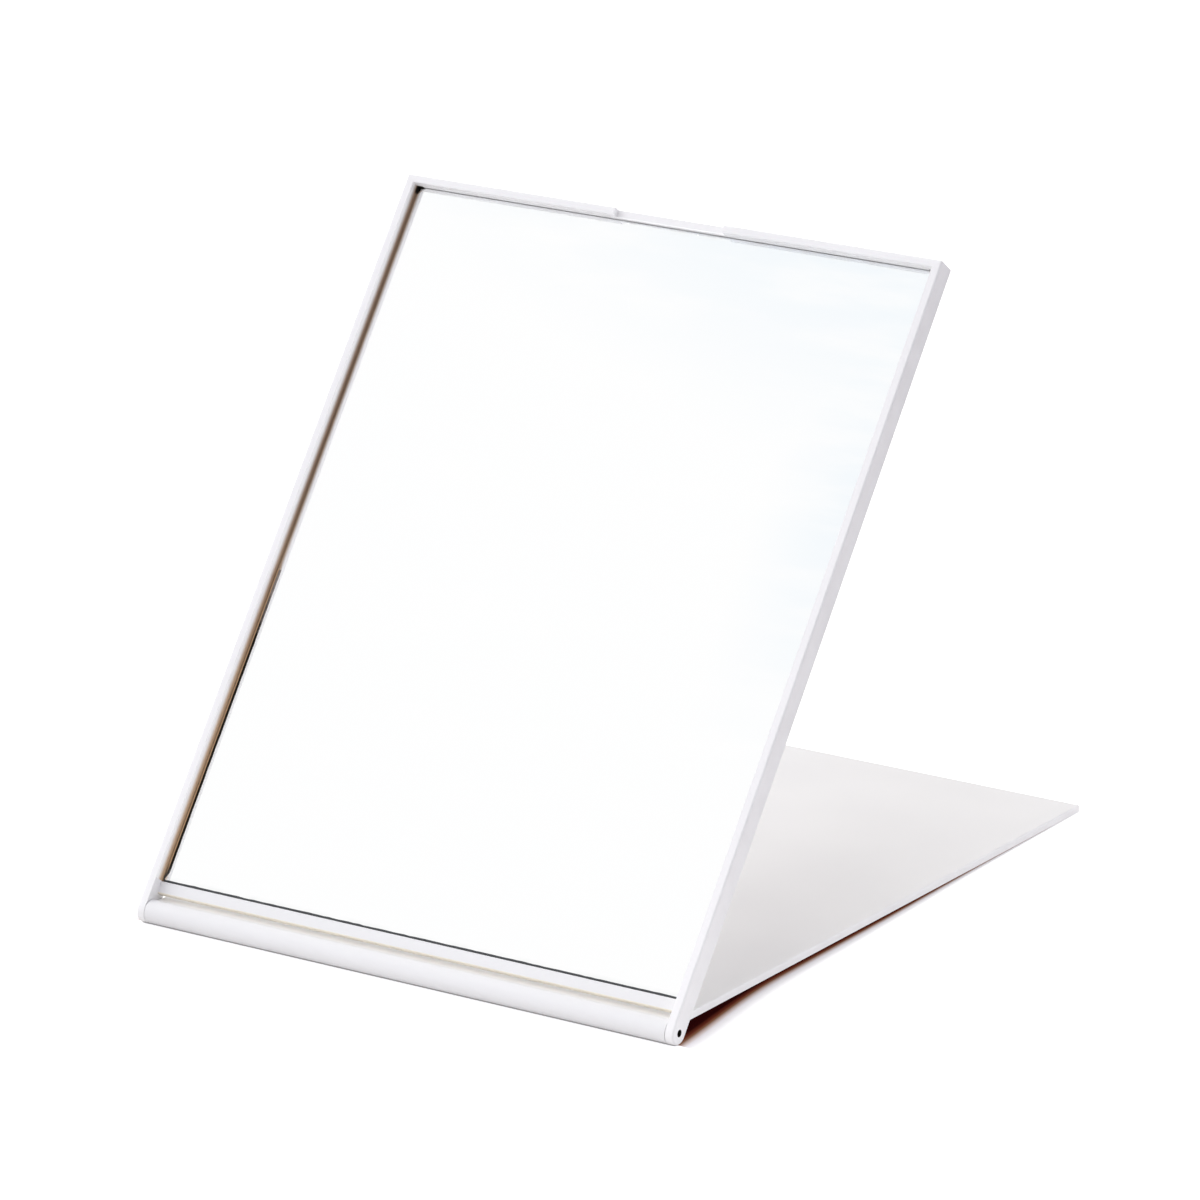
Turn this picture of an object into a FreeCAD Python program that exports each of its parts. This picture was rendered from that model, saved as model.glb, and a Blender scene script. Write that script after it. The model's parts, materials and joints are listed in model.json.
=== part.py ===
import FreeCAD
import Part

import math
import os

# Folding makeup mirror: a framed mirror leaf and a lid hinged along its lower edge.
# The lid folds right round the hinge and lies behind the mirror as its stand.
#
# Both leaves are drawn folded shut, with the hinge axis along X through the origin,
# Y from the hinge towards the finger notch and Z from the back towards the lid.
# They are then turned open about the hinge and stood on the table.
# The finished model has +Z up, its back at +Y and its origin at the middle of its footprint.

# Driving sizes, in millimetres and degrees

# Whole mirror leaf
frame_width = 160.0
frame_reach = 205.1
side_rim = 2.3
top_rim = 2.1
edge_round = 0.5

# Layers through the folded mirror, from the front rim to the back
cover_recess = 0.8
cover_thickness = 1.9
glass_clearance = 0.4
glass_thickness = 1.3
tape_thickness = 0.2
panel_thickness = 1.4

# Rail under the glass
barrel_gap = 1.9
rail_height = 3.2
rail_clearance = 0.3
rail_round = 0.4

# Back panel in its rebate
panel_ledge = 1.0
panel_fit = 0.1
panel_edge_break = 0.3

# Glass and the strips that hold it
glass_gap = 0.2
glass_top_clip = 1.7
glass_foot_clip = 0.5
glass_seam = 0.2
strip_width = 20.0
strip_margin = 8.0

# Finger notch in the top rim
notch_width = 32.6
notch_depth = 2.0

# Lid that becomes the stand
cover_side_gap = 0.15
cover_end_gap = 0.8
cover_edge_round = 0.4
cover_foot_round = 0.12
root_round = 0.8

# Hinge
pin_diameter = 1.7
pin_recess = 0.9
pin_chamfer = 0.15
pin_tip_gap = 0.5
sleeve_diameter = 3.6
sleeve_length = 12.0
running_clearance = 0.02

# Angles: how far the mirror leans back, and between the leaves at the backward stop
lean_angle = 36.85
stop_angle = 50.0
stop_clearance = 0.3

# How far a cutting tool runs past what it cuts, and how closely two places agree, as a share of the width
overrun = 5.0
agreement_share = 1e-9

# Sizes that follow from those above

frame_thickness = (
    cover_recess + cover_thickness + glass_clearance + glass_thickness + tape_thickness + panel_thickness
)
hinge_radius = frame_thickness / 2
front_face = hinge_radius
back_face = -hinge_radius

cover_outer = front_face - cover_recess
cover_inner = cover_outer - cover_thickness
glass_front = cover_inner - glass_clearance
glass_back = glass_front - glass_thickness
panel_front = glass_back - tape_thickness

frame_side = frame_width / 2
recess_side = frame_side - side_rim
recess_top = frame_reach - top_rim
rail_bottom = hinge_radius + barrel_gap
rail_top = rail_bottom + rail_height
rail_front = cover_inner - rail_clearance

glass_side = recess_side - glass_gap
glass_bottom = rail_top + glass_gap
glass_top = recess_top - glass_gap

cover_side = recess_side - cover_side_gap
cover_length = recess_top - cover_end_gap

pin_radius = pin_diameter / 2
pin_outer_end = frame_side - pin_recess
sleeve_inner_end = cover_side - sleeve_length
pin_inner_end = sleeve_inner_end + pin_tip_gap

# The lid slopes down from the barrel, which lifts its hinge end, to its far lower edge
cover_tilt = math.degrees(
    math.asin(hinge_radius / math.hypot(cover_length, cover_inner)) + math.atan2(cover_inner, cover_length)
)
slope = math.radians(cover_tilt)
rear_reach = cover_length * math.cos(slope) + cover_outer * math.sin(slope)
footprint_middle = (rear_reach - hinge_radius) / 2
mirror_turn = 90.0 - lean_angle

X_AXIS = FreeCAD.Vector(1, 0, 0)
Y_AXIS = FreeCAD.Vector(0, 1, 0)


def block(x_low, x_high, y_low, y_high, z_low, z_high):
    """A box between the given limits."""
    corner = FreeCAD.Vector(x_low, y_low, z_low)
    return Part.makeBox(x_high - x_low, y_high - y_low, z_high - z_low, corner)


def rod(radius, x_low, x_high):
    """A cylinder on the hinge axis."""
    return Part.makeCylinder(radius, x_high - x_low, FreeCAD.Vector(x_low, 0, 0), X_AXIS)


def point(y, z):
    """A point of a profile across the hinge."""
    return FreeCAD.Vector(0, y, z)


def prism(edges, half_length):
    """A profile across the hinge, drawn out along it to both sides."""
    face = Part.Face(Part.Wire(edges))
    face.translate(X_AXIS * -half_length)
    return face.extrude(X_AXIS * half_length * 2)


def edges_where(shape, test):
    """The edges whose ends all satisfy the test."""
    return [edge for edge in shape.Edges if all(test(vertex.Point) for vertex in edge.Vertexes)]


def lies_at(value, place):
    """Whether a coordinate is at the given place."""
    return math.isclose(value, place, abs_tol=frame_width * agreement_share)


def stop_bevel():
    """The space below the lid's outer face when the mirror leans back against its stop."""
    height = cover_outer + stop_clearance
    tool = block(-recess_side, recess_side, -frame_reach, frame_reach, -frame_reach, height)
    tool.rotate(FreeCAD.Vector(), X_AXIS, -stop_angle)
    return tool


def make_mirror_frame():
    """The rim with its ears, rail, rebate and finger notch."""
    outline = [
        Part.LineSegment(point(0, back_face), point(frame_reach, back_face)).toShape(),
        Part.LineSegment(point(frame_reach, back_face), point(frame_reach, front_face)).toShape(),
        Part.LineSegment(point(frame_reach, front_face), point(0, front_face)).toShape(),
        Part.Arc(point(0, front_face), point(-hinge_radius, 0), point(0, back_face)).toShape(),
    ]
    blank = prism(outline, frame_side)
    right_edges = edges_where(blank, lambda p: lies_at(p.x, frame_side))
    left_edges = edges_where(blank, lambda p: lies_at(p.x, -frame_side))
    top_edges = edges_where(blank, lambda p: lies_at(p.y, frame_reach))
    long_top_edges = [edge for edge in top_edges if lies_at(edge.Length, frame_width)]
    blank = blank.makeFillet(edge_round, right_edges + left_edges + long_top_edges)

    past_front = front_face + overrun
    past_back = back_face - overrun
    hinge_bay = block(-recess_side, recess_side, -hinge_radius - overrun, rail_bottom, past_back, past_front)
    window = block(-recess_side, recess_side, rail_top, recess_top, past_back, past_front)
    rail_face = block(-recess_side, recess_side, 0, rail_top, rail_front, past_front)
    ledge_side = recess_side + panel_ledge
    rebate = block(-ledge_side, ledge_side, rail_top, recess_top + panel_ledge, past_back, panel_front)
    notch = block(
        -notch_width / 2, notch_width / 2, recess_top - overrun, frame_reach + overrun,
        front_face - notch_depth, past_front,
    )
    pin_hole = rod(pin_radius, -frame_side - overrun, frame_side + overrun)
    frame = blank.cut([hinge_bay, window, rail_face, rebate, notch, stop_bevel(), pin_hole])
    rail_edge = edges_where(frame, lambda p: lies_at(p.y, rail_bottom) and lies_at(p.z, rail_front))
    return frame.makeFillet(rail_round, rail_edge)


def make_back_panel():
    """The plate in the frame's rebate, which carries the glass."""
    side = recess_side + panel_ledge - panel_fit
    top = recess_top + panel_ledge - panel_fit
    plate = block(-side, side, rail_top, top, back_face, panel_front)
    rear_edges = edges_where(plate, lambda p: lies_at(p.z, back_face))
    return plate.makeChamfer(panel_edge_break, rear_edges).cut(stop_bevel())


def make_mirror_glass():
    """The pane, with clipped corners and a narrow seam ground round both faces."""
    foot_side = glass_side - glass_foot_clip
    foot_height = glass_bottom + glass_foot_clip
    top_side = glass_side - glass_top_clip
    top_height = glass_top - glass_top_clip
    right_half = [
        (foot_side, glass_bottom), (glass_side, foot_height), (glass_side, top_height), (top_side, glass_top),
    ]
    left_half = [(-x, y) for x, y in reversed(right_half)]
    points = [FreeCAD.Vector(x, y, glass_back) for x, y in right_half + left_half]
    pane = Part.Face(Part.makePolygon(points + points[:1])).extrude(FreeCAD.Vector(0, 0, glass_thickness))
    face_edges = edges_where(pane, lambda p: lies_at(p.z, glass_back))
    face_edges += edges_where(pane, lambda p: lies_at(p.z, glass_front))
    return pane.makeChamfer(glass_seam, face_edges)


def make_adhesive_strip(centre):
    """One double-sided strip between the glass and the back panel."""
    return block(
        centre - strip_width / 2, centre + strip_width / 2,
        glass_bottom + strip_margin, glass_top - strip_margin, panel_front, glass_back,
    )


def root_web(face_height, side, face_edge):
    """The round that joins a face of the lid to the barrel: side is 1 on the outer face, -1 on the inner."""
    reach = hinge_radius + root_round
    centre_z = face_height + side * root_round
    centre_y = math.sqrt(reach ** 2 - centre_z ** 2)
    on_face = point(centre_y, face_height)
    on_barrel = point(centre_y, centre_z) * (hinge_radius / reach)
    bisector = (on_face + on_barrel) / 2 - point(centre_y, centre_z)
    nearest = point(centre_y, centre_z) + bisector.normalize() * root_round
    inside = point(0, (cover_outer + cover_inner) / 2)
    return prism(
        [
            Part.Arc(on_face, nearest, on_barrel).toShape(),
            Part.LineSegment(on_barrel, inside).toShape(),
            Part.LineSegment(inside, on_face).toShape(),
        ],
        cover_side - face_edge,
    )


def free_edges(plate):
    """The lid's edges, apart from those inside the barrel."""
    return [edge for edge in plate.Edges if not all(lies_at(v.Point.y, 0) for v in edge.Vertexes)]


def make_cover_panel():
    """The lid with its hinge barrel, bored at both ends for the friction sleeves."""
    plate = block(-cover_side, cover_side, 0, cover_length, cover_inner, cover_outer)
    outer_edges = [edge for edge in free_edges(plate) if not lies_at(edge.CenterOfMass.z, cover_inner)]
    plate = plate.makeFillet(cover_edge_round, outer_edges)
    inner_edges = [edge for edge in free_edges(plate) if lies_at(edge.CenterOfMass.z, cover_inner)]
    plate = plate.makeFillet(cover_foot_round, inner_edges)
    barrel = rod(hinge_radius, -cover_side, cover_side)
    outer_web = root_web(cover_outer, 1, cover_edge_round)
    inner_web = root_web(cover_inner, -1, cover_foot_round)
    lid = plate.fuse([barrel, outer_web, inner_web]).removeSplitter()
    right_bore = rod(sleeve_diameter / 2, sleeve_inner_end, cover_side + overrun)
    left_bore = rod(sleeve_diameter / 2, -cover_side - overrun, -sleeve_inner_end)
    return lid.cut([right_bore, left_bore])


def make_hinge_pin():
    """The right pin, pressed in its ear and turning in its sleeve."""
    pin = rod(pin_radius, pin_inner_end, pin_outer_end)
    round_edges = [edge for edge in pin.Edges if edge.isClosed()]
    return pin.makeChamfer(pin_chamfer, round_edges)


def make_friction_sleeve():
    """The right sleeve, fixed in the barrel's end and gripping the pin."""
    sleeve = rod(sleeve_diameter / 2, sleeve_inner_end, cover_side)
    bore = rod(pin_radius + running_clearance, sleeve_inner_end - overrun, cover_side + overrun)
    return sleeve.cut(bore)


def opposite(shape):
    """The same piece at the other end of the hinge."""
    turned = shape.copy()
    turned.rotate(FreeCAD.Vector(), Y_AXIS, 180)
    return turned


def stand_open(shape, turn):
    """Turn a piece about the hinge and stand it on the table."""
    placed = shape.copy()
    placed.rotate(FreeCAD.Vector(), X_AXIS, turn)
    placed.translate(FreeCAD.Vector(0, -footprint_middle, hinge_radius))
    return placed


def main():
    """Build every piece in the open pose and write it out."""
    strip_place = glass_side - strip_margin - strip_width / 2
    pin = make_hinge_pin()
    sleeve = make_friction_sleeve()
    mirror_leaf = {
        "mirror_frame": make_mirror_frame(),
        "back_panel": make_back_panel(),
        "mirror_glass": make_mirror_glass(),
        "adhesive_strip_left": make_adhesive_strip(-strip_place),
        "adhesive_strip_middle": make_adhesive_strip(0),
        "adhesive_strip_right": make_adhesive_strip(strip_place),
        "hinge_pin_left": opposite(pin),
        "hinge_pin_right": pin,
    }
    lid = {
        "cover_panel": make_cover_panel(),
        "friction_sleeve_left": opposite(sleeve),
        "friction_sleeve_right": sleeve,
    }
    os.makedirs("parts", exist_ok=True)
    for pieces, turn in ((mirror_leaf, mirror_turn), (lid, -cover_tilt)):
        for name, shape in pieces.items():
            stand_open(shape, turn).exportStep(f"parts/{name}.step")


main()
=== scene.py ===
"""Dresses the folding makeup mirror: its glass pane, its finishes, and the studio it is seen in."""
import json
import logging
import math
from dataclasses import dataclass
from enum import Enum
from typing import Callable, Union

import bmesh
import bpy
from mathutils import Matrix, Vector


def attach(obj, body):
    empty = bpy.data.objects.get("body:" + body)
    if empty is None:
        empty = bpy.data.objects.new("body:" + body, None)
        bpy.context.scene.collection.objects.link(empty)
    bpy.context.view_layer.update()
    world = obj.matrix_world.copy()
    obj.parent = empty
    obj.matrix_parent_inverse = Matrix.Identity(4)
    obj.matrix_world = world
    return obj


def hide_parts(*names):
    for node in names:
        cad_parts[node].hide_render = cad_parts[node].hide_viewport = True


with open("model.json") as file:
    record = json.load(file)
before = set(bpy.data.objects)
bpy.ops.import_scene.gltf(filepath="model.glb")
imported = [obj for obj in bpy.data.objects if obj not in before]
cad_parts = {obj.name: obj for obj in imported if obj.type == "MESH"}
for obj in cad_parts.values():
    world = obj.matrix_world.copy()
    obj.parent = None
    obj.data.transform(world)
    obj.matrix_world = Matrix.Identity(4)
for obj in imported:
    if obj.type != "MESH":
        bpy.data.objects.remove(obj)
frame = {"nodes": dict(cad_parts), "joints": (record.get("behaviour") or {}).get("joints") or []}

Colour = tuple[float, float, float]
Point = tuple[float, float, float]
Span = tuple[float, float]
Material = bpy.types.Material
Piece = bpy.types.Object
Socket = bpy.types.NodeSocket
Input = Union[float, Colour, Vector, Socket]
Sockets = dict[str, Socket]
Results = tuple[Socket, ...]

MM = 0.001
VALUE, VECTOR = "NodeSocketFloat", "NodeSocketVector"
WHITE: Colour = (1.0, 1.0, 1.0)
BLACK: Colour = (0.0, 0.0, 0.0)
PATCHES: Span = (0.35, 0.65)  # The values of a noise between which its patches come up.
LEAN_DEG = 36.85  # How far the mirror leans back from upright.
LID_SLOPE_DEG = 0.9351  # How far the lid falls from the hinge to its end.

log = logging.getLogger("folding_mirror")


class Slot(Enum):
    """The record's material slots."""

    WHITE_PLASTIC = "white_plastic"
    MIRROR = "mirror"
    ADHESIVE = "adhesive"
    STEEL = "steel"
    SLEEVE_PLASTIC = "sleeve_plastic"


class Body(Enum):
    """The two bodies that turn on the hinge."""

    STAND = "stand"
    MIRROR = "mirror"


class Part(Enum):
    """The parts of a mesh, named as its select modes are."""

    VERT = "verts"
    EDGE = "edges"
    FACE = "faces"


class Face(Enum):
    """The material slots of the pane, in order."""

    SILVER = 0
    SEAM = 1
    BACKING = 2


@dataclass(frozen=True)
class Lie:
    """How a leaf lies in the part: its hinge line and how far it is turned up from the table.

    Attributes:
        hinge: A point on the hinge axis, in metres.
        turn: The leaf's turn about the hinge, in radians.
    """

    hinge: Point
    turn: float

    def mapping(self, sheet: "NodeSheet") -> Socket:
        """Gives the leaf's own coordinates in a material.

        Args:
            sheet: The material's nodes.

        Returns:
            A vector in millimetres: along the hinge, up the leaf, and out of its front.
        """
        coordinates = sheet.add("ShaderNodeTexCoord")
        node = sheet.add("ShaderNodeMapping", vector_type="TEXTURE")
        sheet.feed(node, Vector=coordinates.outputs["Object"], Location=self.hinge)
        sheet.feed(node, Rotation=(self.turn, 0.0, 0.0), Scale=(MM, MM, MM))
        return node.outputs["Vector"]


class NodeSheet:
    """A node tree with short calls that add nodes and join them."""

    def __init__(self, tree: bpy.types.NodeTree) -> None:
        """Keeps the tree and empties it."""
        self.tree = tree
        tree.nodes.clear()

    def add(self, kind: str, **settings: object) -> bpy.types.Node:
        """Adds a node.

        Args:
            kind: The node's type name.
            **settings: Properties to set on the node.

        Returns:
            The new node.
        """
        node = self.tree.nodes.new(kind)
        for name, value in settings.items():
            setattr(node, name, value)
        return node

    def join(self, value: Input, socket: Socket) -> None:
        """Links a socket to an input, or sets the input to a plain value.

        Args:
            value: A socket or a plain value.
            socket: The input.
        """
        if isinstance(value, Socket):
            self.tree.links.new(value, socket)
        elif socket.type == "RGBA":
            socket.default_value = (*value, 1.0)
        else:
            socket.default_value = value

    def feed(self, node: bpy.types.Node, **values: Input) -> bpy.types.Node:
        """Sets a node's inputs by name, with an underscore for each space.

        Args:
            node: The node whose inputs are set.
            **values: Plain values or sockets.

        Returns:
            The same node.
        """
        for name, value in values.items():
            self.join(value, node.inputs[name.replace("_", " ")])
        return node

    def math(self, operation: str, *values: Input) -> Socket:
        """Adds a Math node.

        Args:
            operation: The node's operation.
            *values: Its inputs, in order.

        Returns:
            The node's result.
        """
        node = self.add("ShaderNodeMath", operation=operation)
        for value, socket in zip(values, node.inputs):
            self.join(value, socket)
        return node.outputs["Value"]

    def minus(self, first: Input, second: Input) -> Socket:
        """Takes the second value from the first."""
        return self.math("SUBTRACT", first, second)

    def times(self, *values: Input) -> Socket:
        """Multiplies values. A product of masks marks what all of them mark.

        Args:
            *values: Two values or more.

        Returns:
            Their product.
        """
        product = values[0]
        for value in values[1:]:
            product = self.math("MULTIPLY", product, value)
        return product

    def length(self, first: Input, second: Input) -> Socket:
        """Gives the length of a line from its two parts."""
        squares = [self.math("POWER", part, 2.0) for part in (first, second)]
        return self.math("SQRT", self.math("ADD", *squares))

    def rise(self, value: Input, start: float, end: float) -> Socket:
        """Turns a value into a soft step from 0 at start to 1 at end.

        Args:
            value: The value to follow.
            start: Where the step begins.
            end: Where the step ends.

        Returns:
            The step's value.
        """
        node = self.add("ShaderNodeMapRange", interpolation_type="SMOOTHSTEP")
        self.feed(node, Value=value, From_Min=start, From_Max=end)
        return node.outputs["Result"]

    def noise(self, place: Input, size: float, detail: float = 2.0, **settings: Input) -> Socket:
        """Adds a noise whose patches have a given size.

        Args:
            place: Coordinates in millimetres.
            size: The size of a patch, in millimetres.
            detail: How many finer layers it has.
            **settings: More inputs of the noise.

        Returns:
            The noise's value, from 0 to 1.
        """
        node = self.add("ShaderNodeTexNoise")
        self.feed(node, Vector=place, Scale=1.0 / size, Detail=detail, **settings)
        return node.outputs["Fac"]

    def blend(self, share: Input, first: Input, second: Input) -> Socket:
        """Mixes two colours.

        Args:
            share: How much of the second colour shows.
            first: The first colour.
            second: The second colour.

        Returns:
            The mixed colour.
        """
        node = self.add("ShaderNodeMix", data_type="RGBA")
        self.join(share, node.inputs[0])
        self.join(first, node.inputs[6])
        self.join(second, node.inputs[7])
        return node.outputs[2]

    def ramp(self, value: Input, stops: dict[float, Colour]) -> Socket:
        """Turns a value into colours between given stops.

        Args:
            value: The value to follow.
            stops: The colour at each value, in rising order.

        Returns:
            The colour.
        """
        first, last = min(stops), max(stops)
        node = self.add("ShaderNodeValToRGB")
        share = self.math("DIVIDE", self.minus(value, first), last - first)
        self.join(share, node.inputs["Fac"])
        elements = node.color_ramp.elements
        while len(elements) < len(stops):
            elements.new(1.0)
        for element, (stop, colour) in zip(elements, stops.items()):
            element.position = (stop - first) / (last - first)
            element.color = (*colour, 1.0)
        return node.outputs["Color"]

    def split(self, vector: Input) -> Results:
        """Gives a vector's three parts."""
        node = self.feed(self.add("ShaderNodeSeparateXYZ"), Vector=vector)
        return tuple(node.outputs)


@dataclass(frozen=True)
class Effect:
    """A shader node group that several finishes use.

    Attributes:
        name: The group's name.
        inputs: Its inputs, each with its socket type.
        outputs: The names of its outputs, which are all values.
        draw: Fills in the group: takes its nodes and its input sockets, and returns its outputs in order.
    """

    name: str
    inputs: dict[str, str]
    outputs: tuple[str, ...]
    draw: Callable[[NodeSheet, Sockets], Results]

    def tree(self) -> bpy.types.NodeTree:
        """Gives the group, made on its first use.

        Returns:
            The group's node tree.
        """
        if self.name in bpy.data.node_groups:
            return bpy.data.node_groups[self.name]
        tree = bpy.data.node_groups.new(self.name, "ShaderNodeTree")
        for name, kind in self.inputs.items():
            tree.interface.new_socket(name, in_out="INPUT", socket_type=kind)
        for name in self.outputs:
            tree.interface.new_socket(name, in_out="OUTPUT", socket_type=VALUE)
        sheet = NodeSheet(tree)
        start = sheet.add("NodeGroupInput")
        end = sheet.add("NodeGroupOutput")
        results = self.draw(sheet, {name: start.outputs[name] for name in self.inputs})
        for name, result in zip(self.outputs, results):
            sheet.join(result, end.inputs[name])
        return tree

    def place(self, sheet: NodeSheet, **values: Input) -> Sockets:
        """Puts the group into a material.

        Args:
            sheet: The material's nodes.
            **values: The group's inputs.

        Returns:
            The group's outputs by name.
        """
        node = sheet.add("ShaderNodeGroup", node_tree=self.tree())
        sheet.feed(node, **values)
        return {name: node.outputs[name] for name in self.outputs}


def draw_moulded_skin(sheet: NodeSheet, inputs: Sockets) -> Results:
    """Draws the skin of a moulding: a fine eroded grain over slow waves.

    Args:
        sheet: The group's nodes.
        inputs: Place in millimetres, Grain and Wave sizes as patches per millimetre.

    Returns:
        Height of the skin, and Tone, a slow patchy variation.
    """
    wave_height, wave_share, grain_share = 4.0, 0.7, 0.3
    grain = sheet.add("ShaderNodeTexNoise")
    sheet.feed(grain, Vector=inputs["Place"], Scale=inputs["Grain"], Detail=3.0, Roughness=0.6)
    wave = sheet.add("ShaderNodeTexNoise")
    sheet.feed(wave, Vector=inputs["Place"], Scale=inputs["Wave"], Detail=1.0)
    height = sheet.math("MULTIPLY_ADD", wave.outputs["Fac"], wave_height, grain.outputs["Fac"])
    slow = sheet.times(wave.outputs["Fac"], wave_share)
    return height, sheet.math("MULTIPLY_ADD", grain.outputs["Fac"], grain_share, slow)


def draw_rubbed_edge(sheet: NodeSheet, inputs: Sockets) -> Results:
    """Draws the wear along the outline of a flat leaf.

    Args:
        sheet: The group's nodes.
        inputs: Place in millimetres, with the leaf's Half Width, Foot and Top, and the Reach of the wear.

    Returns:
        Wear, from 0 away from the edges to 1 on them, broken up by patches.
    """
    across, along, _ = sheet.split(inputs["Place"])
    side = sheet.minus(inputs["Half Width"], sheet.math("ABSOLUTE", across))
    foot = sheet.minus(along, inputs["Foot"])
    top = sheet.minus(inputs["Top"], along)
    distance = sheet.math("MINIMUM", side, sheet.math("MINIMUM", foot, top))
    near = sheet.minus(1.0, sheet.math("DIVIDE", distance, inputs["Reach"]))
    near = sheet.math("MINIMUM", sheet.math("MAXIMUM", near, 0.0), 1.0)
    patches = sheet.noise(inputs["Place"], size=6.0, detail=4.0)
    return (sheet.times(near, sheet.rise(patches, start=0.3, end=0.7)),)


def draw_streaks(sheet: NodeSheet, inputs: Sockets) -> Results:
    """Draws fine streaks along one direction, as drawing or wiping leaves them.

    Args:
        sheet: The group's nodes.
        inputs: Place in millimetres, and Stretch, which squeezes it across the streaks.

    Returns:
        Streaks, from 0 to 1.
    """
    squeeze = sheet.add("ShaderNodeVectorMath", operation="MULTIPLY")
    sheet.join(inputs["Place"], squeeze.inputs[0])
    sheet.join(inputs["Stretch"], squeeze.inputs[1])
    return (sheet.noise(squeeze.outputs["Vector"], size=1.0, detail=4.0),)


@dataclass(frozen=True)
class RecessShadeMasks:
    """Where shade and light are painted on the frame: its recess, its dark corners and bores, and its rail.

    Lengths are in millimetres.

    Attributes:
        back: How far behind the hinge axis the marks begin.
        wall: How far off its place a wall is still marked.
        overlap: How far the top wall runs past the side walls, and the bores run inside them.
        start: The share of the recess's depth at which its inside begins.
        shade: The shares of its depth between which the painted shade comes up.
        corner: How near an upper corner the painted dark shade comes up.
        corner_out: How far out of the hinge axis a corner is painted dark.
        rail_end: How far short of the side walls the rail ends.
        slack: How far off its place a dark corner or the rail's underside is still marked.
    """

    back: float = 1.55
    wall: float = 0.4
    overlap: float = 0.2
    start: float = 0.01
    shade: Span = (0.2, 0.85)
    corner: Span = (2.3, 1.4)
    corner_out: Span = (0.9, 0.2)
    rail_end: float = 0.1
    slack: float = 0.3

    def draw(self, sheet: NodeSheet, inputs: Sockets) -> Results:
        """Draws the masks of painted shade and light.

        Args:
            sheet: The group's nodes.
            inputs: Place in millimetres, with the recess's Half Width, Foot, Top and Depth, the pin's Bore radius and
                the height of the Rail's underside.

        Returns:
            Inside, the recess's walls, painted lighter, Shade, painted shade growing on them towards the glass, Dark,
            painted shade in the upper corners and the bores, Sill, the rail below the glass, painted greyer, and Rail,
            its underside, painted warm shade.
        """
        across, along, out = sheet.split(inputs["Place"])
        beyond = sheet.minus(sheet.math("ABSOLUTE", across), inputs["Half Width"])
        short = sheet.minus(inputs["Top"], along)
        depth = sheet.math("DIVIDE", sheet.minus(inputs["Depth"], out), inputs["Depth"])
        front = sheet.math("GREATER_THAN", out, -self.back)
        wall = sheet.times(
            sheet.math("COMPARE", beyond, 0.0, self.wall), front,
            sheet.math("GREATER_THAN", along, inputs["Foot"]), sheet.math("GREATER_THAN", short, 0.0),
        )
        upper = sheet.times(sheet.math("COMPARE", short, 0.0, self.wall), sheet.math("LESS_THAN", beyond, self.overlap))
        inside = sheet.times(sheet.math("MAXIMUM", wall, upper), sheet.math("GREATER_THAN", depth, self.start))
        corner = sheet.times(
            sheet.rise(sheet.length(beyond, short), *self.corner), sheet.rise(out, *self.corner_out), front,
            sheet.math("LESS_THAN", beyond, self.slack), sheet.math("GREATER_THAN", short, -self.slack),
        )
        bore = sheet.times(
            sheet.math("LESS_THAN", sheet.length(along, out), inputs["Bore"]),
            sheet.math("GREATER_THAN", beyond, -self.overlap),
        )
        between = sheet.math("LESS_THAN", beyond, -self.rail_end)
        return (
            inside, sheet.times(wall, sheet.rise(depth, *self.shade)), sheet.math("MAXIMUM", corner, bore),
            sheet.times(sheet.math("LESS_THAN", along, inputs["Foot"]), between, front),
            sheet.times(sheet.math("COMPARE", along, inputs["Rail"], self.slack), between),
        )


MOULDED_SKIN = Effect(
    "Moulded skin", {"Place": VECTOR, "Grain": VALUE, "Wave": VALUE}, ("Height", "Tone"), draw_moulded_skin,
)
RUBBED_EDGE = Effect(
    "Rubbed edge", {"Place": VECTOR, "Half Width": VALUE, "Foot": VALUE, "Top": VALUE, "Reach": VALUE}, ("Wear",),
    draw_rubbed_edge,
)
RECESS_SHADE = Effect(
    "Recess shade",
    {"Place": VECTOR} | dict.fromkeys(("Half Width", "Foot", "Top", "Depth", "Bore", "Rail"), VALUE),
    ("Inside", "Shade", "Dark", "Sill", "Rail"),
    RecessShadeMasks().draw,
)
STREAKS = Effect("Streaks", {"Place": VECTOR, "Stretch": VECTOR}, ("Streaks",), draw_streaks)


@dataclass(frozen=True)
class Outline:
    """The outline of a leaf: half of its width, and how far up the leaf it begins and ends, in millimetres."""

    half_width: float
    foot: float
    top: float

    def sizes(self) -> dict[str, float]:
        """Gives the sizes as an effect's inputs."""
        return {"Half_Width": self.half_width, "Foot": self.foot, "Top": self.top}


@dataclass(frozen=True)
class Recess(Outline):
    """The recess that the glass lies in, the radius of the pins' bores and the rail's underside, in millimetres."""

    depth: float
    bore: float
    rail: float

    def sizes(self) -> dict[str, float]:
        """Gives the sizes as an effect's inputs."""
        return super().sizes() | {"Depth": self.depth, "Bore": self.bore, "Rail": self.rail}


def new_material(name: str) -> tuple[Material, NodeSheet, bpy.types.Node]:
    """Starts a material.

    Args:
        name: The material's name.

    Returns:
        The material, its nodes and its Principled shader.
    """
    material = bpy.data.materials.new(name)
    material.use_nodes = True
    sheet = NodeSheet(material.node_tree)
    shader = sheet.add("ShaderNodeBsdfPrincipled")
    sheet.join(shader.outputs["BSDF"], sheet.add("ShaderNodeOutputMaterial").inputs["Surface"])
    return material, sheet, shader


@dataclass(frozen=True)
class Relief:
    """The bump of a surface.

    Attributes:
        depth: How deep a height of 1 is, in millimetres.
        strength: The share of the bump that shows.
    """

    depth: float
    strength: float

    def normal(self, sheet: NodeSheet, height: Input) -> Socket:
        """Adds a Bump node.

        Args:
            sheet: The material's nodes.
            height: The height to follow.

        Returns:
            The bumped normal.
        """
        node = sheet.add("ShaderNodeBump")
        sheet.feed(node, Height=height, Strength=self.strength, Distance=self.depth * MM)
        return node.outputs["Normal"]


@dataclass(frozen=True)
class Finish:
    """A finish on one leaf, with the material's name and how the leaf lies. Its lengths are in millimetres."""

    name: str
    lie: Lie


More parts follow.
